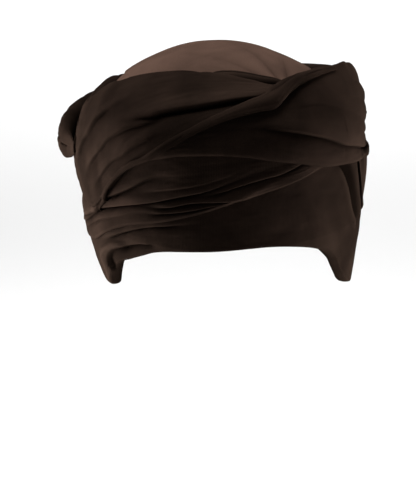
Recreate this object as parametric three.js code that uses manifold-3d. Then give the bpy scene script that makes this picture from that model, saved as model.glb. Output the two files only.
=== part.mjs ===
// A turban of brown jersey: a smooth crown with folded bands wound round it, one over the other.
// Millimetres, +Z up. The front faces -Y and +X is the wearer's left, on the right seen from the front.
// The origin is the middle of the head opening, level with the front edge.

import * as THREE from "three";
import Module from "manifold-3d";

const wasm = await Module();
wasm.setup();

// Driving dimensions of the hollow for the head and of the crown over it
const HEAD_HALF_WIDTH = 78.5;
const HEAD_HALF_DEPTH = 100.5;
const CROWN_HEIGHT = 102.5; // of the crown's top above the front edge
const CROWN_WALL = 2.5; // two layers of jersey
const CROWN_FOOT = 10; // where the crown's own edge ends, above the front edge
const CROWN_SINK = 4; // how far the crown lies inside the form halfway up the dome

// How thick each piece is wound over the ones under it, where it is fullest
const BAND_THICKNESS = 7;
const PLEAT_THICKNESS = 6.5;
const TAIL_THICKNESS = 5.5;
const RIGHT_THICKNESS = 5.5;
const LEFT_THICKNESS = 5.5;
const ROLLED_EDGE_THICKNESS = 5.5;
const BACK_ROLL_THICKNESS = 18;

// How proud of the crown each piece stands where it is fullest
const BAND_DEPTH = BAND_THICKNESS;
const PLEAT_DEPTH = BAND_DEPTH + PLEAT_THICKNESS;
const TAIL_DEPTH = PLEAT_DEPTH + TAIL_THICKNESS;
const RIGHT_DEPTH = PLEAT_DEPTH + RIGHT_THICKNESS;
const LEFT_DEPTH = PLEAT_DEPTH + LEFT_THICKNESS;
const ROLLED_EDGE_DEPTH = LEFT_DEPTH + ROLLED_EDGE_THICKNESS;
const BACK_ROLL_DEPTH = LEFT_DEPTH + BACK_ROLL_THICKNESS;

const ROLLED_EDGE_WIDTH = 8.5;
const TUCK_DEPTH = 1.8; // step from one tuck of the pleated wrap down to the next
const ROLL_GROOVE = 2.6; // depth of the valleys between the back roll's gathers
const LAYER_GAP = 0.3; // clearance between a piece and what it is wound over

// Shape of the form that everything is wound on
const SHOULDER = 0.45; // share of the rise at which the upright wall turns into the dome
const LEAN = 0.22; // share by which the wall draws in for each whole share below the front edge
const HALF_WIDTH = HEAD_HALF_WIDTH + CROWN_WALL;
const HALF_DEPTH = HEAD_HALF_DEPTH + CROWN_WALL;
const QUARTER = Math.PI / 2;
const WALL_RISE = (CROWN_HEIGHT * QUARTER) / (1 - SHOULDER + SHOULDER * QUARTER);
const DOME_HEIGHT = CROWN_HEIGHT - SHOULDER * WALL_RISE;

// Fineness of the facets
const STATIONS = 40; // round the whole turban
const TURN_STEP = 360 / STATIONS;

// The tables give each wrap by stations round the head. turn: degrees from the front towards +X.
// low and high: its edges, as shares of the rise from the front edge (0) to the crown's top (1).
// foot, waist and lip: how proud it stands at its low edge, middle and high edge, as shares of its depth.
// stand: how far its inner face stands off the crown at the low edge, as a share of its depth.
const FOREHEAD_BAND = [
  { turn: -180, low: -0.38, high: 0.2, foot: 0.8, waist: 1, lip: 0.9, stand: 0 },
  { turn: -135, low: -0.38, high: 0.2, foot: 0.75, waist: 1, lip: 0.9, stand: 0 },
  { turn: -100, low: -0.4, high: 0.2, foot: 0.65, waist: 1.2, lip: 0.9, stand: 0 },
  { turn: -75, low: -0.38, high: 0.2, foot: 0.7, waist: 1.4, lip: 0.9, stand: 0 },
  { turn: -55, low: -0.29, high: 0.2, foot: 0.85, waist: 1.35, lip: 0.9, stand: 0 },
  { turn: -40, low: -0.12, high: 0.2, foot: 0.85, waist: 1.05, lip: 0.9, stand: 0 },
  { turn: -22, low: -0.025, high: 0.24, foot: 0.85, waist: 1, lip: 0.9, stand: 0 },
  { turn: -5, low: -0.01, high: 0.3, foot: 0.85, waist: 1, lip: 0.9, stand: 0 },
  { turn: 18, low: 0, high: 0.36, foot: 0.9, waist: 1, lip: 0.9, stand: 0 },
  { turn: 34, low: -0.045, high: 0.4, foot: 1.1, waist: 1.15, lip: 0.9, stand: 0.1 },
  { turn: 50, low: -0.165, high: 0.4, foot: 1.75, waist: 1.7, lip: 1, stand: 0.7 },
  { turn: 66, low: -0.34, high: 0.38, foot: 2.4, waist: 2.25, lip: 1.1, stand: 1.3 },
  { turn: 80, low: -0.42, high: 0.34, foot: 2.4, waist: 2.25, lip: 1.1, stand: 1.2 },
  { turn: 105, low: -0.41, high: 0.26, foot: 1.4, waist: 1.3, lip: 0.9, stand: 0.4 },
  { turn: 140, low: -0.39, high: 0.2, foot: 0.85, waist: 1, lip: 0.9, stand: 0 },
];
const PLEATED_WRAP = [
  { turn: -180, low: -0.14, high: 0.3, foot: 0.9, waist: 1, lip: 0.9 },
  { turn: -120, low: -0.15, high: 0.3, foot: 0.95, waist: 1, lip: 0.9 },
  { turn: -85, low: -0.15, high: 0.3, foot: 1, waist: 0.92, lip: 0.8 },
  { turn: -62, low: -0.1, high: 0.31, foot: 1, waist: 0.92, lip: 0.8 },
  { turn: -50, low: -0.01, high: 0.36, foot: 0.9, waist: 0.98, lip: 0.85 },
  { turn: -38, low: 0.07, high: 0.42, foot: 0.85, waist: 1, lip: 0.9 },
  { turn: -22, low: 0.13, high: 0.5, foot: 0.85, waist: 1, lip: 0.9 },
  { turn: -5, low: 0.2, high: 0.52, foot: 0.9, waist: 1, lip: 0.9 },
  { turn: 12, low: 0.27, high: 0.52, foot: 0.9, waist: 1, lip: 0.9 },
  { turn: 28, low: 0.315, high: 0.5, foot: 0.95, waist: 1, lip: 0.9 },
  { turn: 45, low: 0.35, high: 0.48, foot: 0.85, waist: 0.85, lip: 0.8 },
  { turn: 70, low: 0.3, high: 0.43, foot: 0.75, waist: 0.72, lip: 0.7 },
  { turn: 100, low: 0.16, high: 0.4, foot: 0.85, waist: 0.8, lip: 0.75 },
  { turn: 140, low: -0.06, high: 0.34, foot: 0.9, waist: 1, lip: 0.9 },
];
const SIDE_TAIL = [
  { turn: 81, low: 0, high: 0.31, foot: 0.86, waist: 0.9, lip: 0.86 },
  { turn: 91, low: -0.06, high: 0.32, foot: 0.88, waist: 1, lip: 0.88 },
  { turn: 108, low: -0.03, high: 0.32, foot: 0.8, waist: 0.9, lip: 0.8 },
];
const RIGHT_WRAP = [
  { turn: -37.5, low: 0.36, high: 0.42, foot: 0.78, waist: 0.8, lip: 0.78 },
  { turn: -22, low: 0.445, high: 0.53, foot: 0.85, waist: 0.9, lip: 0.8 },
  { turn: -5, low: 0.467, high: 0.6, foot: 0.85, waist: 0.92, lip: 0.75 },
  { turn: 12, low: 0.457, high: 0.63, foot: 0.85, waist: 0.95, lip: 0.75 },
  { turn: 28, low: 0.412, high: 0.66, foot: 0.85, waist: 1.02, lip: 0.8 },
  { turn: 42, low: 0.365, high: 0.68, foot: 0.9, waist: 1.08, lip: 0.78 },
  { turn: 60, low: 0.31, high: 0.7, foot: 0.95, waist: 1, lip: 0.8 },
  { turn: 85, low: 0.25, high: 0.69, foot: 1.06, waist: 0.88, lip: 0.65 },
  { turn: 115, low: 0.25, high: 0.64, foot: 1, waist: 0.92, lip: 0.5 },
  { turn: 150, low: 0.25, high: 0.54, foot: 0.85, waist: 0.95, lip: 0.55 },
];
const LEFT_WRAP = [
  { turn: 45, low: 0.685, high: 0.74, foot: 0.9, waist: 0.75, lip: 0.3 },
  { turn: 33, low: 0.64, high: 0.73, foot: 1.08, waist: 0.95, lip: 0.45 },
  { turn: 20, low: 0.585, high: 0.74, foot: 1.12, waist: 0.95, lip: 0.55 },
  { turn: 3, low: 0.55, high: 0.765, foot: 1.1, waist: 0.9, lip: 0.55 },
  { turn: -14, low: 0.487, high: 0.76, foot: 1.1, waist: 0.93, lip: 0.5 },
  { turn: -30, low: 0.39, high: 0.73, foot: 1.05, waist: 0.95, lip: 0.42 },
  { turn: -41, low: 0.24, high: 0.69, foot: 0.98, waist: 0.95, lip: 0.32 },
  { turn: -52, low: 0.12, high: 0.66, foot: 0.84, waist: 0.92, lip: 0.22 },
  { turn: -68, low: 0.085, high: 0.65, foot: 0.68, waist: 0.91, lip: 0.12 },
  { turn: -95, low: 0.085, high: 0.62, foot: 0.8, waist: 0.91, lip: 0.1 },
  { turn: -125, low: 0.12, high: 0.545, foot: 0.92, waist: 0.95, lip: 0.2 },
  { turn: -150, low: 0.16, high: 0.48, foot: 0.9, waist: 0.95, lip: 0.5 },
];
// The rolled edge follows the left wrap's low edge, so its table gives only where it begins and ends
// and how full it is. full: share of the rolled edge's width. waist: share of its depth.
const ROLLED_EDGE = [
  { turn: 45, full: 0.75, waist: 0.85 },
  { turn: 33, full: 0.9, waist: 0.96 },
  { turn: 20, full: 0.95, waist: 1 },
  { turn: 0, full: 1, waist: 1 },
  { turn: -20, full: 0.9, waist: 0.96 },
  { turn: -38, full: 0.8, waist: 0.9 },
  { turn: -51, full: 0.7, waist: 0.78 },
];
const BACK_ROLL = [
  { turn: -75, low: 0.21, high: 0.36, foot: 0.5, waist: 0.5, lip: 0.46 },
  { turn: -88, low: 0.12, high: 0.42, foot: 0.6, waist: 0.72, lip: 0.52 },
  { turn: -103, low: 0.14, high: 0.47, foot: 0.7, waist: 0.95, lip: 0.6 },
  { turn: -120, low: 0.12, high: 0.48, foot: 0.76, waist: 1, lip: 0.64 },
  { turn: -145, low: 0.08, high: 0.48, foot: 0.75, waist: 0.9, lip: 0.65 },
  { turn: -180, low: 0.08, high: 0.5, foot: 0.7, waist: 0.8, lip: 0.65 },
  { turn: -215, low: 0.13, high: 0.52, foot: 0.64, waist: 0.74, lip: 0.62 },
  { turn: -240, low: 0.25, high: 0.56, foot: 0.6, waist: 0.66, lip: 0.58 },
  { turn: -262, low: 0.41, high: 0.62, foot: 0.54, waist: 0.58, lip: 0.54 },
];

// A point on the form at a turn and a rise, standing proud of the crown along its normal.
// The wall is an upright ellipse up to SHOULDER, and a quarter ellipse closes it to the top.
function formPoint(turn, rise, proud) {
  const around = THREE.MathUtils.degToRad(turn);
  const lift = (Math.max(rise - SHOULDER, 0) / (1 - SHOULDER)) * QUARTER;
  const height = rise < SHOULDER ? rise * WALL_RISE : SHOULDER * WALL_RISE + DOME_HEIGHT * Math.sin(lift);
  const lean = 1 + LEAN * Math.min(rise, 0);
  const inward = Math.cos(lift) * lean;
  const normal = new THREE.Vector3(
    (Math.cos(lift) * Math.sin(around)) / HALF_WIDTH,
    (-Math.cos(lift) * Math.cos(around)) / HALF_DEPTH,
    Math.sin(lift) / DOME_HEIGHT,
  ).normalize();
  return new THREE.Vector3(
    HALF_WIDTH * inward * Math.sin(around),
    -HALF_DEPTH * inward * Math.cos(around),
    height,
  ).addScaledVector(normal, proud);
}

// How proud of the form the crown's outside lies at a rise: it sinks below it between wall and top.
function crownProud(rise) {
  const lift = (Math.max(rise - SHOULDER, 0) / (1 - SHOULDER)) * QUARTER;
  return -CROWN_SINK * Math.pow(Math.sin(2 * lift), 2);
}

// The value of one column of a table at a turn, on a smooth curve through its rows.
// A table with a round of 360 carries on from its last row to its first.
function column(rows, name, turn, round) {
  const sorted = [...rows].sort((a, b) => a.turn - b.turn);
  const count = sorted.length;
  const row = (index) => {
    if (!round) return sorted[Math.min(Math.max(index, 0), count - 1)];
    const laps = Math.floor(index / count);
    const base = sorted[index - laps * count];
    return { ...base, turn: base.turn + laps * round };
  };
  const first = sorted[0].turn;
  const at = round ? first + ((((turn - first) % round) + round) % round) : turn;
  let index = 0;
  while (index < count - (round ? 1 : 2) && row(index + 1).turn <= at) index += 1;
  const [a, b, c, d] = [row(index - 1), row(index), row(index + 1), row(index + 2)];
  const slope = (from, to) => (to.turn === from.turn ? 0 : (to[name] - from[name]) / (to.turn - from.turn));
  const span = c.turn - b.turn;
  const share = Math.min(Math.max((at - b.turn) / span, 0), 1);
  const start = slope(a, c) * span;
  const end = slope(b, d) * span;
  const square = share * share;
  const cube = square * share;
  return (
    (2 * cube - 3 * square + 1) * b[name] +
    (cube - 2 * square + share) * start +
    (3 * square - 2 * cube) * c[name] +
    (cube - square) * end
  );
}

// A closed solid from vertices and triangles.
function solidFrom(points, triangles) {
  const vertProperties = new Float32Array(points.flatMap((p) => [p.x, p.y, p.z]));
  const triVerts = new Uint32Array(triangles.flat());
  return new wasm.Manifold(new wasm.Mesh({ numProp: 3, vertProperties, triVerts }));
}

// A closed solid from rings of points that each run the same way round.
// closed: the last section joins the first. Otherwise each end is closed by a cap, given as triangles.
function loft(sections, closed, cap) {
  const side = sections[0].length;
  const triangles = [];
  const spans = closed ? sections.length : sections.length - 1;
  for (let i = 0; i < spans; i += 1) {
    const here = i * side;
    const next = ((i + 1) % sections.length) * side;
    for (let j = 0; j < side; j += 1) {
      const k = (j + 1) % side;
      triangles.push([here + j, next + j, next + k], [here + j, next + k, here + k]);
    }
  }
  if (!closed) {
    const last = (sections.length - 1) * side;
    for (const [a, b, c] of cap) {
      triangles.push([a, b, c], [last + a, last + c, last + b]);
    }
  }
  return solidFrom(sections.flat(), triangles);
}

// How proud a wrap stands at a share of its width: a smooth curve through foot, waist and lip,
// rounded off at both edges. square: how square the edges are, from 2 for a roll up.
// ridges: how many folds run along it, and groove: how deep the valley under each is.
function proudAt(row, share, { depth, square, ridges = 0, groove = 0 }) {
  const curve =
    row.foot * (1 - share) * (1 - 2 * share) + row.waist * 4 * share * (1 - share) + row.lip * share * (2 * share - 1);
  const edge = Math.pow(Math.max(1 - Math.pow(Math.abs(2 * share - 1), square), 0), 1 / square);
  const fold = ridges ? groove * (0.5 + 0.5 * Math.cos(2 * Math.PI * ridges * share)) : 0;
  return (curve * depth - fold) * edge;
}

// One wrap as a solid, from its table. grow: how much bigger it is made outside and at its edges,
// which gives the room that the pieces over it leave. The room reaches down into what it lies on.
function wrap(rows, options, grow = 0) {
  const { depth, across, round = 0, root = 0 } = options;
  const turns = rows.map((row) => row.turn);
  const first = Math.min(...turns);
  const reach = round || Math.max(...turns) - first;
  const steps = Math.round(reach / TURN_STEP);
  const half = across / 2;
  const sections = [];
  for (let i = 0; i < (round ? steps : steps + 1); i += 1) {
    const turn = first + (reach * i) / steps;
    const spread = grow && !round ? ((2 * i) / steps - 1) * THREE.MathUtils.radToDeg(grow / HALF_WIDTH) : 0;
    const row = {};
    for (const name of Object.keys(rows[0])) {
      if (name !== "turn") row[name] = column(rows, name, turn, round);
    }
    const low = row.low - grow / WALL_RISE;
    const high = row.high + grow / WALL_RISE;
    const outer = [];
    const inner = [];
    for (let j = 0; j <= across; j += 1) {
      const share = (1 - Math.cos((Math.PI * j) / across)) / 2;
      const rise = low + (high - low) * share;
      const foot = (row.stand ?? 0) * depth * Math.pow(1 - share, 2);
      const base = (root ? root * depth : crownProud(rise)) + foot + LAYER_GAP;
      const proud = Math.max(proudAt(row, share, options), base + CROWN_WALL / 2);
      outer.push(formPoint(turn + spread, rise, proud + grow));
      if (j % 2 === 0) inner.push(formPoint(turn + spread, rise, base - (grow ? CROWN_WALL : 0)));
    }
    sections.push([...outer, ...inner.reverse()]);
  }
  const cap = [];
  for (let k = 0; k < half; k += 1) {
    const a = 2 * k;
    const inside = across + 1 + half - k;
    cap.push([a, a + 1, inside], [a + 1, a + 2, inside - 1], [a + 1, inside - 1, inside]);
  }
  return loft(sections, Boolean(round), cap);
}

// The crown: a dome of one thickness, open below, closed by one point on each side at the top.
function crown(grow = 0) {
  const domeSteps = 7;
  const foot = CROWN_FOOT / WALL_RISE - grow / WALL_RISE;
  const rises = [foot];
  for (let j = 0; j < domeSteps; j += 1) rises.push(SHOULDER + ((1 - SHOULDER) * j) / domeSteps);
  const levels = rises.length;
  const points = [];
  for (const offset of [grow, -CROWN_WALL]) {
    for (const rise of rises) {
      const proud = crownProud(rise) + offset;
      for (let i = 0; i < STATIONS; i += 1) points.push(formPoint(i * TURN_STEP, rise, proud));
    }
  }
  const outerTop = points.push(formPoint(0, 1, grow)) - 1;
  const innerTop = points.push(formPoint(0, 1, -CROWN_WALL)) - 1;
  const index = (side, level, station) => (side * levels + level) * STATIONS + (station % STATIONS);
  const triangles = [];
  for (let i = 0; i < STATIONS; i += 1) {
    for (let j = 0; j < levels - 1; j += 1) {
      const outer = [index(0, j, i), index(0, j, i + 1), index(0, j + 1, i + 1), index(0, j + 1, i)];
      const inner = [index(1, j, i), index(1, j, i + 1), index(1, j + 1, i + 1), index(1, j + 1, i)];
      triangles.push([outer[0], outer[1], outer[2]], [outer[0], outer[2], outer[3]]);
      triangles.push([inner[0], inner[2], inner[1]], [inner[0], inner[3], inner[2]]);
    }
    const last = levels - 1;
    triangles.push([index(0, last, i), index(0, last, i + 1), outerTop]);
    triangles.push([index(1, last, i + 1), index(1, last, i), innerTop]);
    triangles.push([index(0, 0, i), index(1, 0, i), index(1, 0, i + 1)]);
    triangles.push([index(0, 0, i), index(1, 0, i + 1), index(0, 0, i + 1)]);
  }
  return solidFrom(points, triangles);
}

// The rolled edge's rows: half its width either side of the left wrap's low edge.
function rolledEdgeRows() {
  const halfWidth = ROLLED_EDGE_WIDTH / 2 / WALL_RISE;
  return ROLLED_EDGE.map(({ turn, full, waist }) => {
    const middle = column(LEFT_WRAP, "low", turn, 0) + 0.3 * halfWidth;
    const [low, high] = [middle - halfWidth * full, middle + halfWidth * full];
    return { turn, low, high, foot: waist, waist, lip: waist };
  });
}

const material = (color) => new THREE.MeshStandardMaterial({ color, roughness: 0.88, metalness: 0 });
const BROWN = material(0x3a2620);
const WARM_BROWN = material(0x4a332b);
const DARK_BROWN = material(0x2c1d19);

// The pieces from the innermost to the outermost
const PIECES = [
  { name: "crown", make: crown, cloth: WARM_BROWN },
  {
    name: "forehead_band",
    rows: FOREHEAD_BAND,
    options: { depth: BAND_DEPTH, across: 8, square: 8, round: 360 },
    cloth: DARK_BROWN,
  },
  {
    name: "pleated_wrap",
    rows: PLEATED_WRAP,
    options: { depth: PLEAT_DEPTH, across: 14, square: 8, round: 360, ridges: 3, groove: TUCK_DEPTH },
    cloth: BROWN,
  },
  {
    name: "side_tail",
    rows: SIDE_TAIL,
    options: { depth: TAIL_DEPTH, across: 6, square: 6, root: 0.6 },
    cloth: BROWN,
  },
  {
    name: "right_wrap",
    rows: RIGHT_WRAP,
    options: { depth: RIGHT_DEPTH, across: 10, square: 4 },
    cloth: BROWN,
  },
  {
    name: "left_wrap",
    rows: LEFT_WRAP,
    options: { depth: LEFT_DEPTH, across: 10, square: 8 },
    cloth: WARM_BROWN,
  },
  {
    name: "rolled_edge",
    rows: rolledEdgeRows(),
    options: { depth: ROLLED_EDGE_DEPTH, across: 8, square: 2, root: 0.45 },
    cloth: BROWN,
  },
  {
    name: "back_roll",
    rows: BACK_ROLL,
    options: { depth: BACK_ROLL_DEPTH, across: 12, square: 3, ridges: 3, groove: ROLL_GROOVE },
    cloth: BROWN,
  },
];

// A mesh for a piece: its solid less the room of every piece that it is wound over.
function build() {
  const group = new THREE.Group();
  const rooms = [];
  for (const { name, make, rows, options, cloth } of PIECES) {
    const shape = (grow) => (make ? make(grow) : wrap(rows, options, grow));
    const solid = rooms.reduce((body, room) => body.subtract(room), shape(0));
    rooms.push(shape(LAYER_GAP));
    const { vertProperties, triVerts } = solid.getMesh();
    const geometry = new THREE.BufferGeometry();
    geometry.setAttribute("position", new THREE.BufferAttribute(new Float32Array(vertProperties), 3));
    geometry.setIndex(new THREE.BufferAttribute(new Uint32Array(triVerts), 1));
    const mesh = new THREE.Mesh(geometry, cloth);
    mesh.name = name;
    group.add(mesh);
  }
  return group;
}

export default build();
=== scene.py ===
"""A turban of brown jersey: a stretched crown with folded bands wound round it, one over the other.

Millimetres in the tables, metres in the meshes. The front faces -Y and +X is the turban's left.
A place on the cloth is a turn in degrees from the front towards +X, a rise from the front edge (0)
to the crown's top (1), and how proud it stands of the form, in millimetres along the form's normal.
"""

import math

import bpy
import numpy as np
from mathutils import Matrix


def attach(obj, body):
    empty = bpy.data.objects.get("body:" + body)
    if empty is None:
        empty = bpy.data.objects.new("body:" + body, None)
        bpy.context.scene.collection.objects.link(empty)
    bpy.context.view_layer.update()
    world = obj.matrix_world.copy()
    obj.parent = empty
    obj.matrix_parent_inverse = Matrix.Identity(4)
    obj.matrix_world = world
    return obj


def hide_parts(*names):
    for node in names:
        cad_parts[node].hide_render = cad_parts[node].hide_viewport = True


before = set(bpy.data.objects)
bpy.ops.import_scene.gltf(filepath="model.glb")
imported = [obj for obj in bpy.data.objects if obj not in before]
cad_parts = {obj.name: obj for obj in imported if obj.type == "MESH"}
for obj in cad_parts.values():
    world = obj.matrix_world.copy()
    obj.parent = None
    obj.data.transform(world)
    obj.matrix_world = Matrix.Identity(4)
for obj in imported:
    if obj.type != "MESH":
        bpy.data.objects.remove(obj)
bpy.context.view_layer.update()

# The form that everything is wound on
MM = 0.001
HALF_WIDTH, HALF_DEPTH, CROWN_HEIGHT = 81.0, 103.0, 102.5
MEAN_RADIUS = 92
SHOULDER = 0.45  # the rise where the upright wall ends and the dome starts
LEAN = 0.22  # how much the wall draws in for each share of the rise below the front edge
WALL_RISE = CROWN_HEIGHT * (math.pi / 2) / (1 - SHOULDER + SHOULDER * math.pi / 2)
DOME_HEIGHT = CROWN_HEIGHT - SHOULDER * WALL_RISE
ARC = 1.62  # mm along the cloth for each degree of turn

# The cloth, in millimetres: how proud each wrap stands of the form where its table says 1, the crown's
# wall, its foot above the front edge and its sink, the least cloth over what lies below, how far a wrap's
# inside stays off what it lies on, and how proud cloth usually is where only its length up the form counts
DEPTH = {"band": 7.0, "pleat": 13.5, "tail": 19.0, "side": 19.0, "back": 37.0, "own": 1.0}
CROWN_WALL, CROWN_FOOT, CROWN_SINK = 2.5, 10.0, 3.4
THIN_CLOTH = 1.1
LYING_GAP = 0.15
USUAL_PROUD = 15.0

# The wraps, each by stations round the form. Columns: turn, the rises of the low and high edges, and how
# full the wrap is at its foot, waist and lip, as shares of its depth. The band has one more, how far it
# stands off what is below it at its low edge.
TURN, LOW, HIGH, FOOT, WAIST, LIP, STAND = range(7)
FOREHEAD_BAND = [
    (-180, -0.38, 0.2, 0.8, 1, 0.9, 0), (-135, -0.38, 0.2, 0.75, 1, 0.9, 0),
    (-100, -0.4, 0.2, 0.65, 1.2, 0.9, 0), (-75, -0.38, 0.2, 0.7, 1.4, 0.9, 0),
    (-58, -0.34, 0.2, 0.85, 1.35, 0.9, 0), (-54, -0.26, 0.2, 0.85, 1.3, 0.9, 0),
    (-50, -0.185, 0.2, 0.85, 1.25, 0.9, 0), (-42, -0.132, 0.2, 0.85, 1.05, 0.9, 0),
    (-34, -0.085, 0.2, 0.85, 1, 0.9, 0), (-28, -0.052, 0.2, 0.85, 1, 0.9, 0),
    (-20, -0.028, 0.24, 0.85, 1, 0.9, 0), (-5, -0.01, 0.3, 0.85, 1, 0.9, 0),
    (18, 0, 0.36, 0.9, 1, 0.9, 0), (34, -0.035, 0.4, 1.1, 1.15, 0.9, 0.1), (46, -0.09, 0.4, 1.5, 1.5, 1, 0.4),
    (52, -0.15, 0.4, 1.8, 1.75, 1, 0.8), (58, -0.25, 0.39, 2.1, 2, 1.05, 1.1), (66, -0.35, 0.38, 2.4, 2.25, 1.1, 1.3),
    (80, -0.42, 0.34, 2.4, 2.25, 1.1, 1.2), (105, -0.41, 0.26, 1.4, 1.3, 0.9, 0.4),
    (140, -0.39, 0.2, 0.85, 1, 0.9, 0),
]
PLEATED_WRAP = [
    (-180, -0.14, 0.3, 0.9, 1, 0.9), (-120, -0.15, 0.3, 0.95, 0.95, 0.9), (-85, -0.15, 0.3, 0.78, 0.66, 0.75),
    (-62, -0.1, 0.31, 0.86, 0.74, 0.8), (-50, -0.01, 0.36, 0.9, 0.98, 0.85), (-38, 0.07, 0.42, 0.85, 1, 0.9),
    (-22, 0.13, 0.5, 0.85, 1, 0.9), (-5, 0.2, 0.52, 0.9, 1, 0.9), (12, 0.27, 0.52, 0.9, 1, 0.9),
    (28, 0.315, 0.5, 0.95, 1, 0.9), (45, 0.35, 0.48, 0.85, 0.85, 0.8), (70, 0.3, 0.43, 0.75, 0.72, 0.7),
    (100, 0.16, 0.4, 0.85, 0.8, 0.75), (140, -0.06, 0.34, 0.9, 1, 0.9),
]
SIDE_TAIL = [
    (77, 0.04, 0.31, 0.76, 0.84, 0.86), (80, -0.02, 0.31, 0.72, 0.86, 0.84), (85, -0.05, 0.32, 0.68, 0.88, 0.84),
    (92, -0.05, 0.32, 0.7, 0.9, 0.84), (99, -0.025, 0.32, 0.74, 0.9, 0.83), (105, 0.03, 0.32, 0.84, 0.9, 0.8),
    (110, 0.12, 0.32, 0.78, 0.85, 0.8),
]
RIGHT_WRAP = [
    (-37.5, 0.36, 0.42, 0.78, 0.8, 0.78), (-22, 0.445, 0.53, 0.85, 0.9, 0.8), (-5, 0.467, 0.6, 0.85, 0.92, 0.75),
    (12, 0.457, 0.63, 0.85, 0.95, 0.75), (28, 0.412, 0.635, 0.85, 1.02, 0.9), (40, 0.365, 0.66, 0.9, 1.06, 1.0),
    (50, 0.34, 0.67, 0.9, 1.05, 1.06), (60, 0.31, 0.67, 0.88, 1, 1.14),
    (74, 0.27, 0.65, 0.85, 0.8, 1.15), (88, 0.25, 0.615, 0.86, 0.72, 0.92),
    (115, 0.25, 0.58, 0.9, 0.85, 0.62), (150, 0.25, 0.52, 0.85, 0.95, 0.55),
]
LEFT_WRAP = [
    (37, 0.655, 0.668, 0.8, 0.75, 0.5), (30, 0.638, 0.662, 0.95, 0.88, 0.58), (24, 0.614, 0.671, 1, 0.93, 0.62),
    (18, 0.588, 0.687, 1.04, 0.96, 0.66), (12, 0.574, 0.701, 1.06, 0.97, 0.7), (3, 0.56, 0.719, 1.08, 0.97, 0.74),
    (-14, 0.498, 0.732, 1.08, 0.98, 0.76), (-30, 0.405, 0.715, 1.05, 0.98, 0.78), (-41, 0.265, 0.69, 0.98, 0.98, 0.78),
    (-52, 0.125, 0.652, 0.82, 0.94, 0.76), (-62, 0.09, 0.608, 0.64, 0.85, 0.66), (-72, 0.085, 0.558, 0.52, 0.79, 0.46),
    (-84, 0.085, 0.51, 0.58, 0.76, 0.34), (-100, 0.1, 0.505, 0.8, 0.8, 0.38), (-113, 0.11, 0.51, 0.9, 0.83, 0.46),
    (-125, 0.12, 0.52, 0.92, 0.9, 0.52), (-150, 0.16, 0.48, 0.9, 0.95, 0.5),
]
# The strand of the left wrap that shows behind its top edge. Its foot, waist and lip are millimetres.
TOP_FOLD = [
    (-14, 0.715, 0.752, 3, 4, 3), (-4, 0.705, 0.764, 8, 9.5, 7), (6, 0.69, 0.762, 10, 11.5, 8.5),
    (14, 0.675, 0.75, 11, 12.5, 9), (22, 0.66, 0.733, 11, 12.5, 9), (30, 0.655, 0.714, 11, 12, 9),
    (40, 0.656, 0.69, 8, 9, 7),
]
# The rolled edge's foot, waist and lip are millimetres too
ROLLED_EDGE = [
    (-53, 0.09, 0.13, 15, 17, 17), (-46, 0.175, 0.212, 17, 19, 18.5), (-40, 0.27, 0.302, 18.5, 20.5, 19.8),
    (-35, 0.34, 0.374, 19.5, 21.5, 20.5), (-30, 0.395, 0.429, 20, 22, 20.8), (-23, 0.447, 0.468, 20.5, 22.2, 21),
    (-17, 0.477, 0.5, 20.5, 22.3, 21), (-10, 0.509, 0.531, 20.5, 22.4, 21), (-4, 0.532, 0.556, 20.5, 22.4, 21),
    (3, 0.552, 0.58, 20.5, 22.4, 21), (10, 0.565, 0.602, 20.5, 22.4, 21), (16, 0.572, 0.617, 20.5, 22.8, 21),
    (20, 0.577, 0.634, 21, 23.4, 21), (24, 0.597, 0.648, 21.5, 23.8, 20.5), (28, 0.616, 0.658, 21.5, 24, 20),
    (34, 0.634, 0.668, 22, 23.8, 19.5), (42, 0.642, 0.673, 22, 23, 19), (50, 0.645, 0.67, 21.5, 22, 18.5),
    (58, 0.643, 0.657, 20, 20, 18),
]
BACK_ROLL = [
    (-72, 0.31, 0.36, 0.5, 0.5, 0.48), (-79, 0.26, 0.39, 0.5, 0.56, 0.48), (-88, 0.22, 0.41, 0.52, 0.66, 0.48),
    (-103, 0.2, 0.425, 0.6, 0.77, 0.5), (-120, 0.15, 0.445, 0.7, 0.86, 0.54), (-145, 0.1, 0.47, 0.75, 0.88, 0.62),
    (-180, 0.09, 0.49, 0.7, 0.8, 0.65), (-215, 0.14, 0.49, 0.64, 0.74, 0.62), (-240, 0.25, 0.49, 0.6, 0.64, 0.58),
    (-258, 0.33, 0.475, 0.54, 0.56, 0.52), (-270, 0.38, 0.45, 0.5, 0.5, 0.48),
]

# The right panel of the forehead band: (rise, turn) of its upright edge, with a gap behind it
PANEL_EDGE = [(-0.05, 67), (-0.01, 65), (0.067, 62), (0.162, 60), (0.257, 57.5), (0.34, 53), (0.42, 48)]

# The side roll of the band, from the front edge down behind the side: (rise, turn) of the crease before it
SIDE_CURL = [
    (-0.42, -53), (-0.3, -53), (-0.233, -53), (-0.19, -54), (-0.15, -53), (-0.11, -50), (-0.06, -43), (0.0, -36),
]


def fold(line, up, over, down, below, side=1):
    """One fold: a line of (turn, rise), how far the cloth past it stands up and over how many mm, and how
    deep the crease before it is and over how many mm. side 1: the lip is above the line and the crease
    below it. side -1: the other way round."""
    return line, up, over, down, below, side


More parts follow.
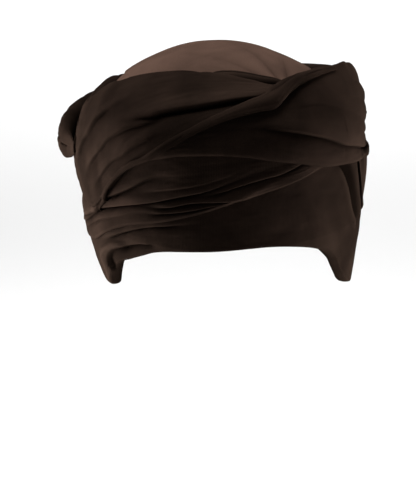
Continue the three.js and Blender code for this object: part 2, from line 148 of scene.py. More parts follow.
BAND_TUCKS = [
    fold([(-64, -0.16), (-50, -0.035), (-39, 0.04), (-28, 0.092), (-18, 0.118), (-4, 0.15)],
         up=1.1, over=3, down=1.8, below=1.6),
    fold([(-50, -0.11), (-43, -0.06), (-38, -0.03), (-32, -0.005), (-22, 0.005)],
         up=1.2, over=5, down=1.8, below=3),
]
PLEAT_TUCKS = [
    fold([(-86, -0.1), (-76, -0.06), (-66, 0.0), (-56, 0.087), (-47, 0.185), (-40, 0.237), (-34, 0.28),
          (-24, 0.357), (-18, 0.37), (-10, 0.362)],
         up=1.2, over=5, down=2.0, below=2),
    fold([(-90, -0.06), (-80, -0.035), (-70, 0.0), (-52, 0.115), (-38, 0.182), (-23, 0.242), (-15, 0.277),
          (-3, 0.322), (6, 0.367), (15, 0.402), (26, 0.43)],
         up=1.4, over=4.5, down=2.4, below=1.5),
    fold([(-14, 0.26), (0, 0.307), (6, 0.335), (15, 0.365), (22, 0.38), (31, 0.412), (46, 0.44)],
         up=1.1, over=3, down=2.0, below=1.3),
    fold([(-34, 0.19), (-20, 0.215), (-10, 0.252), (-1, 0.262), (7, 0.27), (24, 0.32)],
         up=1.0, over=3, down=2.4, below=1.5),
    fold([(-34, 0.15), (-20, 0.185), (-10, 0.215), (-3, 0.237), (14, 0.27)],
         up=0.9, over=2.6, down=2.0, below=1.3),
    fold([(-90, -0.13), (-72, -0.075), (-54, 0.045), (-42, 0.11), (-30, 0.17), (-16, 0.2)],
         up=0.6, over=4, down=0.7, below=3),
    fold([(-36, 0.25), (-20, 0.3), (-6, 0.345), (6, 0.4), (14, 0.43)],
         up=0.5, over=4, down=0.6, below=2.5),
]
RIGHT_TUCKS = [
    fold([(-12, 0.53), (6, 0.537), (19, 0.527), (34, 0.497), (45, 0.462), (56, 0.42), (68, 0.365), (84, 0.31),
          (135, 0.3)],
         up=1.0, over=6, down=1.6, below=2.4),
    fold([(6, 0.575), (22, 0.577), (29, 0.575), (38, 0.57), (50, 0.54), (62, 0.502), (76, 0.46), (110, 0.44)],
         up=0.15, over=6, down=0.18, below=3),
]
LEFT_TUCKS = [
    fold([(-42, 0.53), (-32, 0.538), (-29, 0.548), (-24, 0.56), (-20, 0.573), (-15, 0.583), (-9, 0.592),
          (-4, 0.6), (6, 0.612), (14, 0.617), (24, 0.622), (36, 0.63)],
         up=1.4, over=7, down=3.2, below=3),
    fold([(-22, 0.718), (-10, 0.714), (-2, 0.709), (5, 0.7), (12, 0.686), (18, 0.672), (24, 0.657), (33, 0.648)],
         up=1.0, over=3, down=2.4, below=1.3, side=-1),
    fold([(-66, 0.16), (-60, 0.242), (-51, 0.365), (-43, 0.46), (-34, 0.512), (-25, 0.537), (-14, 0.56)],
         up=0.9, over=5, down=0.8, below=3.5),
    fold([(-76, 0.2), (-70, 0.292), (-60, 0.432), (-54, 0.477), (-50, 0.52), (-46, 0.552), (-36, 0.59)],
         up=0.9, over=5, down=0.9, below=3.5),
    fold([(-58, 0.12), (-52, 0.21), (-45, 0.312), (-38, 0.407), (-30, 0.47), (-22, 0.505), (-12, 0.53)],
         up=0.7, over=5, down=0.6, below=3),
]


def smooth(value, low, high):
    """0 below low and 1 above high, with an easy curve between."""
    share = np.clip((value - low) / (high - low), 0, 1)
    return share * share * (3 - 2 * share)


def between(value, first, last, soft):
    """1 from first to last and 0 outside, fading over soft at both ends."""
    return smooth(value, first - soft, first) * (1 - smooth(value, last, last + soft))


def facing_turn(turn):
    """The turn brought into -180 to 180, so that 0 is the front."""
    return (turn + 180) % 360 - 180


def ridges(phase, power):
    """Round ridges with sharp creases between: a power of the size of a sine, one ridge a whole phase."""
    return np.abs(np.sin(math.pi * phase)) ** power


def along(table, at, full=False):
    """The columns of a table at each value of its first column, on cubics through its rows.
    The slope at a row is that of the line between its neighbours. full: the table runs all round."""
    rows = np.array(sorted(table), float)
    if full:
        lap = np.zeros(rows.shape[1])
        lap[0] = 360
        start = rows[0, 0]
        rows = np.vstack([rows[-2:] - lap, rows, rows[:2] + lap])
        at = (at - start) % 360 + start
    else:
        rows = np.vstack([rows[:1], rows, rows[-1:]])
    k = np.clip(np.searchsorted(rows[:, 0], at, side="right") - 1, 1, len(rows) - 3)
    a, b, c, d = rows[k - 1], rows[k], rows[k + 1], rows[k + 2]
    span = c[..., :1] - b[..., :1]
    share = np.clip((np.asarray(at)[..., None] - b[..., :1]) / span, 0, 1)
    before = (c - a) / np.maximum(c[..., :1] - a[..., :1], 1e-6) * span
    after = (d - b) / np.maximum(d[..., :1] - b[..., :1], 1e-6) * span
    s2, s3 = share**2, share**3
    return (2 * s3 - 3 * s2 + 1) * b + (s3 - 2 * s2 + share) * before + (3 * s2 - 2 * s3) * c + (s3 - s2) * after


def dome_angle(rise):
    """0 up to the shoulder, then evenly up to a quarter turn at the crown's top."""
    return np.maximum(rise - SHOULDER, 0) / (1 - SHOULDER) * math.pi / 2


def form_point(turn, rise, proud):
    """The place on the form: an upright ellipse up to the shoulder, closed by a quarter ellipse over it,
    moved out along the normal by proud. Below the front edge the wall draws in."""
    turn, rise, proud = np.broadcast_arrays(turn, rise, proud)
    around = np.radians(turn)
    lift = dome_angle(rise)
    height = np.where(rise < SHOULDER, rise * WALL_RISE, SHOULDER * WALL_RISE + DOME_HEIGHT * np.sin(lift))
    inward = np.cos(lift) * (1 + LEAN * np.minimum(rise, 0))
    across, forward = np.sin(around), -np.cos(around)
    normal = np.stack(
        [np.cos(lift) * across / HALF_WIDTH, np.cos(lift) * forward / HALF_DEPTH, np.sin(lift) / DOME_HEIGHT], -1
    )
    normal /= np.linalg.norm(normal, axis=-1, keepdims=True)
    place = np.stack([HALF_WIDTH * inward * across, HALF_DEPTH * inward * forward, height], -1)
    return (place + normal * proud[..., None]) * MM


def mm_per_rise(rise):
    """Millimetres up the cloth for a whole share of the rise: the pace up the form, times one plus how proud
    the cloth stands over the radius of the dome there."""
    lift = dome_angle(rise)
    square = (MEAN_RADIUS * np.sin(lift)) ** 2 + (DOME_HEIGHT * np.cos(lift)) ** 2
    pace = math.pi / 2 / (1 - SHOULDER) * np.sqrt(square)
    return np.where(rise < SHOULDER, WALL_RISE, pace * (1 + USUAL_PROUD * MEAN_RADIUS * DOME_HEIGHT / square**1.5))


def crown_proud(rise):
    """How far the crown lies inside the form, as a height below 0: its sink times a squared sine, so most
    halfway up the dome."""
    lift = dome_angle(rise)
    return -CROWN_SINK * np.sin(2 * lift) ** 2


def waver(seed, u, v):
    """Smooth noise from -1 to 1: seeded values at whole numbers of u and v, eased between."""
    values = np.random.default_rng(seed).uniform(-1, 1, (64, 64))
    iu, iv = np.floor(u).astype(int), np.floor(v).astype(int)
    fu, fv = u - iu, v - iv
    fu, fv = fu**3 * (fu * (6 * fu - 15) + 10), fv**3 * (fv * (6 * fv - 15) + 10)
    p = values[iu % 64, iv % 64] * (1 - fu) + values[(iu + 1) % 64, iv % 64] * fu
    q = values[iu % 64, (iv + 1) % 64] * (1 - fu) + values[(iu + 1) % 64, (iv + 1) % 64] * fu
    return p * (1 - fv) + q * fv


def above(line, turn, rise):
    """Distance in mm above a line on the unrolled cloth: the rise above it times the cosine of its slope."""
    near = 0.6  # degrees to each side between which the slope is taken
    level = along(line, turn)[..., 1]
    climb = along(line, turn + near)[..., 1] - along(line, turn - near)[..., 1]
    slope = climb * mm_per_rise(level) / (2 * near * ARC)
    return (rise - level) * mm_per_rise(level) / np.sqrt(1 + slope**2)


def tucks(folds, turn, rise):
    """Relief of the folds in mm, and how far their lips hang down over the creases.
    A lip rises over the line and fades over its width. Below it a crease drops at once and fades. Both
    fade out towards the ends of the line, quickly where it starts out of sight at the side."""
    relief = np.zeros(np.broadcast(turn, rise).shape)
    hang = np.zeros_like(relief)
    for line, up, over, down, below, side in folds:
        here = side * above(line, turn, rise)
        first, last = line[0][TURN], line[-1][TURN]
        fade = 0.3 * (last - first)
        start = 10 if first < -70 else fade
        ends = smooth(turn, first, first + start) * (1 - smooth(turn, last - fade, last))
        lip = 0.5 + 0.5 * np.tanh(here / (0.45 + 2.5 * (1 - ends)))
        relief += ends * lip * up * np.exp(-((np.maximum(here, 0) / over) ** 2))
        relief -= ends * (1 - lip) * 1.65 * down * np.exp(-np.maximum(-here, 0) / (1.2 * below))
        hang += side * ends**2 * 0.3 * (up + down) * np.exp(-(((here - 0.5) / 1.1) ** 2))
    return relief, hang


def pleats(share, turn, count, depth, seed, power=0.6):
    """Ridges side by side across the wrap, that wander along it by two sizes of noise."""
    wander = 0.5 * waver(seed, turn / 28 + 9, share * 2) + 0.2 * waver(seed + 1, turn / 11 + 9, share * 4)
    return depth * (ridges(count * share + wander, power) - 0.6)


# The height of the cloth wound so far, on a fine grid of turn and rise
MAP_TURN_STEP, MAP_RISE_STEP, MAP_FOOT = 0.5, 0.004, -0.5
MAP_TURN = np.arange(-180, 180, MAP_TURN_STEP)
MAP_RISE = np.arange(MAP_FOOT, 1.0001, MAP_RISE_STEP)
laid = np.broadcast_to(crown_proud(MAP_RISE), (len(MAP_TURN), len(MAP_RISE))).copy()


def cloth_below(turn, rise):
    """The height of the cloth wound so far, between the four nearest values of the map."""
    u = ((np.asarray(turn) + 180) % 360) / MAP_TURN_STEP
    v = np.clip((np.asarray(rise) - MAP_FOOT) / MAP_RISE_STEP, 0, len(MAP_RISE) - 1.001)
    iu, iv = np.floor(u).astype(int), np.floor(v).astype(int)
    fu, fv = u - iu, v - iv
    n = len(MAP_TURN)
    p = laid[iu % n, iv] * (1 - fu) + laid[(iu + 1) % n, iv] * fu
    q = laid[iu % n, iv + 1] * (1 - fu) + laid[(iu + 1) % n, iv + 1] * fu
    return p * (1 - fv) + q * fv


def turns_between(first, last, fine=0.5, coarse=1.0):
    """Turns from first to last, fine apart in front and coarse behind, drawn together to end on last."""
    stations = [first]
    while stations[-1] < last:
        stations.append(stations[-1] + (fine if abs(facing_turn(stations[-1])) < 95 else coarse))
    return first + (np.array(stations) - first) * (last - first) / (stations[-1] - first)


def piece_from(name, points, weave, fold, ring, pole=None):
    """A closed mesh from rings of points, one ring a station. ring: the last ring joins the first, or else
    the two end rings are closed by a face each. weave: metres along and across the cloth. fold: painted
    shade for the colour, -1 darkest in a crease or at an edge to 1 lightest on a ridge. pole: the column where
    two layers meet at a pole, each closed there by one small face instead of joined to the other."""
    stations, side = points.shape[:2]
    index = np.arange(stations * side).reshape(stations, side)
    here = np.arange(stations if ring else stations - 1)[:, None]
    there = (here + 1) % stations
    j = np.arange(side) if pole is None else np.delete(np.arange(side), pole)
    k = (j + 1) % side
    quads = np.stack([index[here, j], index[there, j], index[there, k], index[here, k]], -1).reshape(-1, 4)
    vertices = points.reshape(-1, 3)
    faces = [tuple(quad) for quad in quads.tolist()]

    # The weave runs one station and one point past the seams, so that no face turns back over the cloth
    past_last = weave[-1:, :, 0] + (weave[-1:, :, 0] - weave[-2:-1, :, 0])
    along_cloth = np.concatenate([weave[..., 0], past_last])
    along_cloth = np.concatenate([along_cloth, along_cloth[:, -1:]], axis=1)
    across_cloth = np.concatenate([weave[..., 1], weave[:1, :, 1]])
    across_cloth = np.concatenate([across_cloth, across_cloth[:, -1:] + 0.003], axis=1)
    corners = [(here, j), (here + 1, j), (here + 1, j + 1), (here, j + 1)]
    uv = np.stack([np.stack([along_cloth[c], across_cloth[c]], -1) for c in corners], -2).reshape(-1, 2)

    if not ring:
        faces += [tuple(index[0].tolist()), tuple(index[-1][::-1].tolist())]
        uv = np.concatenate([uv, weave[0], weave[-1][::-1]])
    if pole is not None:
        faces += [tuple(index[:, pole].tolist()), tuple(index[::-1, pole + 1].tolist())]
        uv = np.concatenate([uv, weave[:, pole], weave[::-1, pole + 1]])

    mesh = bpy.data.meshes.new(name)
    mesh.from_pydata(vertices.tolist(), [], faces)
    mesh.uv_layers.new(name="weave").data.foreach_set("uv", uv.astype(np.float32).ravel())
    # The fold attribute is painted shade and highlight: the jersey scales its colour by it
    mark = mesh.attributes.new("fold", "FLOAT", "POINT")
    mark.data.foreach_set("value", fold.astype(np.float32).ravel())

    # Six times the volume, from each quad's two triangles: below 0 the faces point inwards
    a, b, c, d = (vertices[quads[:, corner]] for corner in range(4))
    volume = np.einsum("ij,ij->", a, np.cross(b, c)) + np.einsum("ij,ij->", a, np.cross(c, d))
    if volume < 0:
        mesh.flip_normals()
    mesh.polygons.foreach_set("use_smooth", np.ones(len(faces), bool))
    mesh.update()
    piece = bpy.data.objects.new(name, mesh)
    bpy.context.scene.collection.objects.link(piece)
    return piece


def wind(name, table, depth, relief, rows, edge=2.2, full=False, blunt=6.0, deep=2.2):
    """One wrap wound over what lies below. Its outside is a quadratic through foot, waist and lip times
    the depth, plus the relief, and never nearer the cloth below than thin cloth. Half rounds of the width
    edge close it at both sides, and its inside lies on the cloth below. blunt: degrees over which the ends
    draw down to the cloth below. deep: millimetres of relief that give the full painted shade in a crease, or the full
    painted highlight on a ridge."""
    first, last = min(row[TURN] for row in table), max(row[TURN] for row in table)
    turn = turns_between(first, 360 + first if full else last)
    if full:
        turn = turn[:-1]
    t = turn[:, None]

    def lies_on(t, rise, share, columns):
        """The cloth below, and the stand of the wrap's low edge times the square of the share left."""
        under = cloth_below(t, rise)
        if columns.shape[-1] > STAND:
            under = under + columns[..., STAND] * depth * (1 - share) ** 2
        return under

    def outside(t, rise, columns):
        """Heights of the outside and of what it lies on, its relief, and how far the lips hang."""
        low, high = columns[..., LOW], columns[..., HIGH]
        share = np.clip((rise - low) / (high - low), 0, 1)
        foot, waist, lip = (columns[..., k] for k in (FOOT, WAIST, LIP))
        curve = foot * (1 - share) * (1 - 2 * share) + waist * 4 * share * (1 - share) + lip * share * (2 * share - 1)
        raised, hang = relief(t, rise, share)
        inset = np.minimum((rise - low) * mm_per_rise(low), (high - rise) * mm_per_rise(high))
        off_edge = smooth(inset, 0.3, 2.5)
        raised = raised * off_edge
        top = curve * depth + raised
        under = lies_on(t, rise, share, columns)
        if not full:
            close = smooth(t, first, first + blunt) * (1 - smooth(t, last - blunt, last))
            top = under + THIN_CLOTH + np.maximum(top - under - THIN_CLOTH, 0) * close
        gap = top - under - THIN_CLOTH
        top = under + THIN_CLOTH + 0.5 * (gap + np.sqrt(gap * gap + 1.0))
        return top, under, raised, hang * off_edge

    # The outside, between the two half rounds
    columns = along(table, t, full)
    low, high = columns[..., LOW], columns[..., HIGH]
    low_reach = np.minimum(edge / mm_per_rise(low), 0.48 * (high - low))
    high_reach = np.minimum(edge / mm_per_rise(high), 0.48 * (high - low))
    across = high - low - low_reach - high_reach
    rise = low + low_reach + across * np.linspace(0, 1, rows)[None]
    top, under, raised, hang = outside(t, rise, columns)
    rise = rise - hang / mm_per_rise(rise)

    # The half rounds, from the floor up to the outside and down again, and the inside
    bend = np.linspace(0, math.pi, 12)[None, :-1]
    swing, lifted = 1 - np.sin(bend), 0.5 - 0.5 * np.cos(bend)
    low_rise, high_rise = low + low_reach * swing, high - high_reach * swing[:, ::-1]
    low_floor, high_floor = under[:, :1] + LYING_GAP, under[:, -1:] + LYING_GAP
    low_proud = low_floor + (top[:, :1] - low_floor) * lifted
    high_proud = high_floor + (top[:, -1:] - high_floor) * lifted[:, ::-1]
    inner_rise = low + low_reach + across * np.linspace(1, 0, 10)[None, 1:-1]
    inner_proud = lies_on(t, inner_rise, (inner_rise - low) / (high - low), columns) + LYING_GAP

    all_rise = np.concatenate([low_rise, rise, high_rise, inner_rise], 1)
    all_proud = np.concatenate([low_proud, top, high_proud, inner_proud], 1)
    points = form_point(t, all_rise, all_proud)
    shade = -1 + 1.2 * lifted  # painted contact shade: the half rounds darken down to the floor
    low_shade, high_shade = np.broadcast_to(shade, low_rise.shape), np.broadcast_to(shade[:, ::-1], high_rise.shape)
    # Painted shade and highlight for the colour: dark down the half rounds to the cloth below, darker in the creases
    # of the relief and lighter on its ridges
    painted_shade = np.concatenate([low_shade, np.clip(raised / deep, -1, 1), high_shade, np.zeros(inner_rise.shape)], 1)
    steps = np.linalg.norm(np.diff(points, axis=1), axis=2)
    across_cloth = np.cumsum(np.concatenate([np.zeros((len(turn), 1)), steps], 1), axis=1)
    weave = np.stack([np.broadcast_to(t * ARC * MM, all_rise.shape), across_cloth], -1)
    piece = piece_from(name, points, weave, painted_shade, full)

    # The map of the cloth wound so far, raised to this wrap's rounded outside
    mt, mr = np.meshgrid(MAP_TURN, MAP_RISE, indexing="ij")
    if not full:
        mt = np.where(mt < first - 1, mt + 360, mt)
        mt = np.where(mt > last + 1, mt - 360, mt)
    columns = along(table, mt, full)
    low, high = columns[..., LOW], columns[..., HIGH]
    inside = (mr > low) & (mr < high)
    if not full:
        inside &= (mt > first) & (mt < last)
    top, under, _, _ = outside(mt, mr, columns)
    inset = np.minimum((mr - low) * mm_per_rise(low), (high - mr) * mm_per_rise(high))
    inset = np.clip(inset, 0, edge) / edge
    rounded = under + (top - under) * (0.5 + 0.5 * np.sqrt(np.clip(1 - (1 - inset) ** 2, 0, 1)))
    laid[...] = np.where(inside, np.maximum(laid, rounded), laid)
    return piece


# Relief of each wrap in mm: its own folds in front, gathered pleats at the sides and back, and fine pulls.
# Each gives the relief and how far the lips of its folds hang.
def pulls(seed, turn, share, width, depth):
    """Fine pulls in the cloth: two sizes of noise, long along the wrap and narrow across it."""
    wide = waver(seed, turn / 14 + 20, share * width / 3.2)
    fine = waver(seed + 1, turn / 6 + 20, share * width / 1.7)
    return depth * (0.6 * wide + 0.4 * fine)


def no_hang(turn, rise):
    """Nothing hangs down, at any place."""
    return np.zeros(np.broadcast(turn, rise).shape)


def band_relief(turn, rise, share):
    """Folds, pleats behind, soft noise at the sides, a gap that drops past the right panel's edge and
    fades, with a bead before it, and the side roll: a bell of height beside a crease that drops at once."""
    raised, hang = tucks(BAND_TUCKS, turn, rise)
    facing = facing_turn(turn)
    behind = smooth(np.abs(facing), 78, 110)
    raised = raised + behind * pleats(share, turn, 5, 1.6, 11)
    side = between(facing, 42, 84, 10)
    raised = raised + side * 0.8 * waver(12, facing / 9 + 30 + rise * 3, rise * 4 + facing / 20)

    past = (facing - along(PANEL_EDGE, rise)[..., 1]) * ARC
    upright = smooth(rise, -0.06, 0.2) * (1 - smooth(rise, 0.4, 0.47))
    gap = smooth(past, -0.6, 0.8) * (1 - smooth(past, 2.5, 20)) * upright
    bead = np.exp(-(((past + 3) / 3.5) ** 2)) * between(rise, 0, 0.28, 0.06)
    raised = raised - 8.5 * gap + 1.2 * bead

    inward = (facing - along(SIDE_CURL, rise)[..., 1]) * ARC
    curled = between(rise, -0.42, -0.07, 0.05) * between(facing, -80, -34, 8)
    roll = np.exp(-(((inward + 5) / 5.5) ** 2))
    crease = smooth(inward, -1.2, 0.6) * np.exp(-np.maximum(inward, 0) / 3.5)
    return raised + curled * (2.6 * roll - 3.2 * crease) + pulls(13, turn, share, 34, 0.22), hang


def pleated_relief(turn, rise, share):
    """The long tucks, pleats at the sides and behind, and pulls."""
    raised, hang = tucks(PLEAT_TUCKS, turn, rise)
    behind = smooth(np.abs(facing_turn(turn)), 62, 85)
    raised = raised + behind * pleats(share, turn, 4, 3.2, 21, 0.55)
    return raised + pulls(23, turn, share, 40, 0.3), hang


def tail_relief(turn, rise, share):
    """Upright ridges that fan out downwards: their width grows from the high edge to the low one."""
    fan = (turn - 90) / (11 * (1.3 - 0.5 * share)) + 0.25 * waver(31, turn / 7 + 20, share * 2.5)
    return 1.6 * (ridges(fan, 0.6) - 0.6), no_hang(turn, rise)


def right_relief(turn, rise, share):
    """Folds, pleats behind, round bumps on the hump's outer side, each a bell of its own size, and pulls."""
    raised, hang = tucks(RIGHT_TUCKS, turn, rise)
    raised = raised + smooth(turn, 58, 104) * pleats(share, turn, 6, 2.4, 41)
    for at, level, size, height in ((68, 0.655, 4, 1.8), (76, 0.62, 7, 1.8), (82, 0.53, 7, 1.4), (81, 0.4, 7, 1.2)):
        away = ((turn - at) * ARC / size) ** 2 + ((rise - level) * WALL_RISE / size) ** 2
        raised = raised + height * np.exp(-away)
    return raised + pulls(43, turn, share, 48, 0.22), hang


def left_relief(turn, rise, share):
    """Folds, pleats behind, soft noise on a slant at the front left, and pulls."""
    raised, hang = tucks(LEFT_TUCKS, turn, rise)
    raised = raised + smooth(-turn, 66, 92) * pleats(share, turn, 6, 2.4, 51)
    slant = turn * ARC + (rise - 0.4) * WALL_RISE * 0.25
    soft = between(turn, -64, -38, 10) * between(rise, 0.2, 0.62, 0.1)
    raised = raised + soft * 0.7 * waver(55, slant / 9 + 20, rise * 3 + 5)
    return raised + pulls(53, turn, share, 50, 0.25), hang


def fold_relief(turn, rise, share):
    """Two strands side by side, and pulls."""
    strands = 1.8 * (ridges(2.2 * share + 0.3, 0.6) - 0.75)
    return strands + pulls(57, turn, share, 9, 0.2), no_hang(turn, rise)


def rolled_relief(turn, rise, share):
    """Strands twisted round the roll: one at first and two behind the hump, moving across it as it runs."""
    strands = 0.9 + 1.1 * smooth(turn, 12, 26)
    twist = share * strands - turn * ARC / 70 + 0.25
    return ridges(twist, 0.7) - 0.7, no_hang(turn, rise)


def back_relief(turn, rise, share):
    """Pleats along the roll, bowed by a slow sine, and arcs across it near its left end."""
    bow = share + 0.1 * np.sin((turn + 75) / 40)
    arc = (turn + 30 * (share - 0.55) ** 2) / 9.5 + 0.35 * waver(65, turn / 9 + 40, share * 3)
    arcs = 4.2 * (ridges(arc, 0.55) - 0.6)
    near = smooth(turn, -128, -112)
    bunched = 0.55 * near * arcs + (1 - 0.45 * near) * pleats(bow, turn, 5, 3.4, 61, 0.55)
    return bunched, no_hang(turn, rise)


def crown_piece():
    """The crown: a dome of one wall, its outside the form less the sink, with pulls that fan out from the
    knot at its right and die away, the edge of a layer across the top, soft noise, and a dent at its left.
    Its two layers share the rim at the foot, and each closes at the top."""
    turn = np.arange(-180, 180, 1.0)[:, None]
    foot, top = CROWN_FOOT / WALL_RISE, 0.9995
    rise = np.concatenate([np.linspace(foot, 0.5, 12), np.linspace(0.5, top, 110)[1:]])[None]
    on_dome = smooth(rise, 0.5, 0.6)
    x, y = np.sin(np.radians(turn)) * (1 - rise), -np.cos(np.radians(turn)) * (1 - rise)
    from_knot_x, from_knot_y = x - 0.22, y + 0.24
    fan, far = np.arctan2(from_knot_y, from_knot_x), np.hypot(from_knot_x, from_knot_y)
    pull = np.exp(-far / 0.16) * (np.abs(np.sin(fan * 7 + 0.6)) ** 0.6 - 0.6) * 2.2 * smooth(rise, 0.55, 0.62)
    layer = 0.9 * smooth(x + 0.35 * y + 0.3, -0.006, 0.006) * on_dome * (1 - smooth(rise, 0.86, 0.97))
    soft = 0.35 * waver(5, x * 9 + 20, y * 9 + 20) * on_dome
    dent = 2.6 * smooth(-x, 0.22, 0.5) * on_dome
    outer = crown_proud(rise) + pull + layer + soft - dent

    inner_rise = np.linspace(top, foot, 50)[None]
    inner = np.broadcast_to(crown_proud(inner_rise) - CROWN_WALL, (len(turn), 50))
    points = np.concatenate([form_point(turn, rise, outer), form_point(turn, inner_rise, inner)], 1)
    # Painted shade in the creases of the pulls and a painted highlight on their ridges
    painted_shade = np.concatenate([np.clip(pull / 1.5, -1, 1), np.zeros(inner.shape)], 1)
    return piece_from("crown_cloth", points, points[..., :2], painted_shade, True, pole=rise.shape[1] - 1)


# The camera, at the photograph's height and angle. Its lens is the photograph's focal length in pixels
# over the picture's longer side, on a 36 mm sensor.
FOCAL_PIXELS, LONGER_SIDE, SENSOR = 1237.3, 479, 36
camera_data = bpy.data.cameras.new("camera")
camera = bpy.data.objects.new("camera", camera_data)
bpy.context.scene.collection.objects.link(camera)
camera.location = (-0.00713, -0.79874, 0.25885)
camera.rotation_euler = (math.radians(70), 0, 0)
camera_data.lens = SENSOR * FOCAL_PIXELS / LONGER_SIDE
camera_data.sensor_width = SENSOR
camera_data.sensor_fit = "AUTO"
bpy.context.scene.camera = camera

# The cloth, from the innermost out: each wrap lies on those wound before it
crown = crown_piece()
band = wind("forehead_band_cloth", FOREHEAD_BAND, DEPTH["band"], band_relief, 110, edge=1.6, full=True)
pleated = wind("pleated_wrap_cloth", PLEATED_WRAP, DEPTH["pleat"], pleated_relief, 100, edge=2.4, full=True)
tail = wind("side_tail_cloth", SIDE_TAIL, DEPTH["tail"], tail_relief, 60, edge=2.5, blunt=3.0)
right = wind("right_wrap_cloth", RIGHT_WRAP, DEPTH["side"], right_relief, 110, edge=2.8)
top_fold = wind("left_wrap_top_fold", TOP_FOLD, DEPTH["own"], fold_relief, 40, edge=2.0)
left = wind("left_wrap_cloth", LEFT_WRAP, DEPTH["side"], left_relief, 120, edge=2.6)
rolled = wind("rolled_edge_cloth", ROLLED_EDGE, DEPTH["own"], rolled_relief, 26, edge=2.2, blunt=12.0)
back = wind("back_roll_cloth", BACK_ROLL, DEPTH["back"], back_relief, 120, edge=9, blunt=12.0, deep=4.5)


def jersey(name, dark, light, seed):
    """Knitted jersey, matte: two browns mottled by noise, with a painted highlight on the ridges of the folds and
    painted shade in the creases and at the pieces' edges, and a bump of knit stitches, a wave along the cloth plus a
    wave across it, in mm."""
    material = bpy.data.materials.new(name)
    material.use_nodes = True
    tree = material.node_tree
    nodes, links = tree.nodes, tree.links
    shader = nodes["Principled BSDF"]
    shader.inputs["Roughness"].default_value = 1.0
    shader.inputs["Specular IOR Level"].default_value = 0.0
    place = nodes.new("ShaderNodeTexCoord")
    cloud = nodes.new("ShaderNodeTexNoise")
    cloud.inputs["Scale"].default_value = 32
    cloud.inputs["Detail"].default_value = 3
    cloud.inputs["Distortion"].default_value = seed
    links.new(place.outputs["Object"], cloud.inputs["Vector"])
    mix = nodes.new("ShaderNodeMix")
    mix.data_type = "RGBA"
    mix.inputs["A"].default_value = (*dark, 1)
    mix.inputs["B"].default_value = (*light, 1)
    spread = nodes.new("ShaderNodeMapRange")
    spread.inputs["From Min"].default_value = 0.35
    spread.inputs["From Max"].default_value = 0.68
    links.new(cloud.outputs["Fac"], spread.inputs["Value"])
    links.new(spread.outputs["Result"], mix.inputs["Factor"])
    # Painted shade and highlight: the fold attribute scales the colour from a quarter in creases and at piece edges to
    # 1.3 times on ridges
    fold = nodes.new("ShaderNodeAttribute")
    fold.attribute_name = "fold"
    painted_crease_shade = nodes.new("ShaderNodeMapRange")
    painted_crease_shade.inputs["From Min"].default_value = -1
    painted_crease_shade.inputs["From Max"].default_value = 1
    painted_crease_shade.inputs["To Min"].default_value = 0.25
    painted_crease_shade.inputs["To Max"].default_value = 1.3
    links.new(fold.outputs["Fac"], painted_crease_shade.inputs["Value"])
    shaded_colour = nodes.new("ShaderNodeVectorMath")
    shaded_colour.operation = "SCALE"
    links.new(mix.outputs["Result"], shaded_colour.inputs[0])
    links.new(painted_crease_shade.outputs["Result"], shaded_colour.inputs["Scale"])
    links.new(shaded_colour.outputs["Vector"], shader.inputs["Base Color"])
    thread = nodes.new("ShaderNodeUVMap")
    thread.uv_map = "weave"
    stitches = nodes.new("ShaderNodeMapping")
    stitches.inputs["Scale"].default_value = (1000, 1000, 1)
    links.new(thread.outputs["UV"], stitches.inputs["Vector"])
    wales = nodes.new("ShaderNodeTexWave")
    wales.bands_direction = "X"
    wales.inputs["Scale"].default_value = 0.35
    wales.inputs["Distortion"].default_value = 0.6
    courses = nodes.new("ShaderNodeTexWave")
    courses.bands_direction = "Y"
    courses.inputs["Scale"].default_value = 0.45
    courses.inputs["Distortion"].default_value = 0.8
    links.new(stitches.outputs["Vector"], wales.inputs["Vector"])
    links.new(stitches.outputs["Vector"], courses.inputs["Vector"])
    knit = nodes.new("ShaderNodeMath")
    knit.operation = "MULTIPLY_ADD"
    links.new(wales.outputs["Fac"], knit.inputs[0])
    knit.inputs[1].default_value = 0.7
    links.new(courses.outputs["Fac"], knit.inputs[2])
    bump = nodes.new("ShaderNodeBump")
    bump.inputs["Strength"].default_value = 0.35
    bump.inputs["Distance"].default_value = 0.0003
    links.new(knit.outputs["Value"], bump.inputs["Height"])
    links.new(bump.outputs["Normal"], shader.inputs["Normal"])
    return material


# The crown's jersey is several times lighter than the wraps': partly the thinner stretched cloth, partly painted top
# light
crown_jersey = jersey("crown_jersey_cloth", (0.07, 0.0425, 0.032), (0.098, 0.059, 0.0445), 0.4)
band_jersey = jersey("band_jersey_cloth", (0.0125, 0.0081, 0.0061), (0.0205, 0.0131, 0.0097), 0.6)
wrap_jersey = jersey("wrap_jersey_cloth", (0.0155, 0.01, 0.0075), (0.0255, 0.0161, 0.012), 0.5)

# Each piece with its node, slot, material, flat size in metres, how it is held and what it rests on
MAKE = [
    (crown, "crown", "crown_jersey", crown_jersey, (0.24, 0.27), "stretched", ["crown"]),
    (band, "forehead_band", "band_jersey", band_jersey, (0.075, 0.6), "folded", ["crown"]),
    (pleated, "pleated_wrap", "wrap_jersey", wrap_jersey, (0.055, 0.62), "folded", ["forehead_band"]),
    (tail, "side_tail", "wrap_jersey", wrap_jersey, (0.055, 0.052), "folded", ["pleated_wrap"]),
    (right, "right_wrap", "wrap_jersey", wrap_jersey, (0.065, 0.31), "folded", ["pleated_wrap"]),
    (left, "left_wrap", "wrap_jersey", wrap_jersey, (0.075, 0.32), "folded", ["right_wrap"]),
    (top_fold, "left_wrap", "wrap_jersey", wrap_jersey, (0.021, 0.082), "folded", ["crown"]),
    (rolled, "rolled_edge", "wrap_jersey", wrap_jersey, (0.0115, 0.16), "folded", ["left_wrap"]),
    (back, "back_roll", "wrap_jersey", wrap_jersey, (0.075, 0.33), "gathered", ["left_wrap"]),
]
for piece, node, slot, material, flat, held, rests_on in MAKE:
    piece.data.materials.append(material)
    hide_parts(node)
    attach(piece, "root")

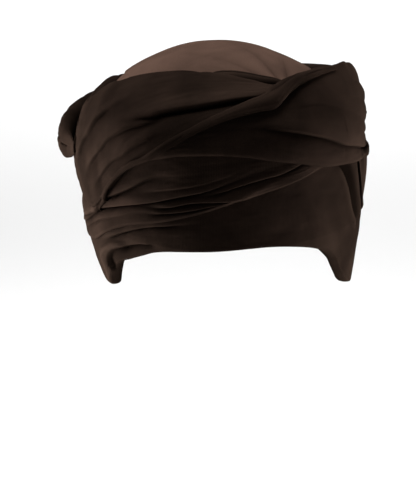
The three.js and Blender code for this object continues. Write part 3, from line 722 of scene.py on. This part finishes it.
# A plain pale floor well below, soft studio lights and a dim even world
bpy.ops.mesh.primitive_plane_add(size=80, location=(0, 0, -0.32))
floor = bpy.context.object
floor.name = "floor"
floor_paint = bpy.data.materials.new("floor_paint")
floor_paint.use_nodes = True
floor_paint.node_tree.nodes["Principled BSDF"].inputs["Base Color"].default_value = (0.8, 0.8, 0.8, 1)
floor_paint.node_tree.nodes["Principled BSDF"].inputs["Roughness"].default_value = 0.8
floor.data.materials.append(floor_paint)


def soft_light(name, place, aim, size, power, spread):
    """A square light at a place, facing aim: tilted from straight down, then turned about the upright."""
    data = bpy.data.lights.new(name, "AREA")
    data.size = size
    data.energy = power
    data.spread = math.radians(spread)
    light = bpy.data.objects.new(name, data)
    bpy.context.scene.collection.objects.link(light)
    light.location = place
    light.visible_camera = False
    way = np.array(aim) - np.array(place)
    light.rotation_euler = (math.atan2(math.hypot(way[0], way[1]), -way[2]), 0, math.atan2(-way[0], way[1]))


overhead = bpy.data.lights.new("overhead_light", "SUN")
overhead.energy = 1.0
overhead.angle = math.radians(50)
overhead_light = bpy.data.objects.new("overhead_light", overhead)
overhead_light.rotation_euler = (math.radians(-14), math.radians(-10), 0)
overhead_light.visible_camera = False
bpy.context.scene.collection.objects.link(overhead_light)
soft_light("back_light", (0.2, 2.6, 1.9), (0.0, 2.2, -0.3), 2.8, 85, 180)
soft_light("top_light", (-0.15, 0.1, 1.0), (0, 0, 0.1), 0.5, 1.9, 80)
soft_light("left_light", (-1.2, 0.4, -0.2), (0, 0, 0.02), 0.5, 7.5, 80)
soft_light("low_left_light", (-0.4, 0.0, -0.28), (-0.08, -0.05, -0.06), 0.2, 2.1, 80)
soft_light("right_light", (1.2, 0.4, -0.2), (0, 0, 0.02), 0.5, 6, 80)
soft_light("low_right_light", (0.4, 0.0, -0.28), (0.08, -0.05, -0.06), 0.2, 1.4, 80)
world = bpy.data.worlds.new("studio")
world.use_nodes = True
world.node_tree.nodes["Background"].inputs["Color"].default_value = (1, 1, 1, 1)
world.node_tree.nodes["Background"].inputs["Strength"].default_value = 0.12
bpy.context.scene.world = world
bpy.context.scene.view_settings.view_transform = "Standard"

bpy.context.view_layer.update()
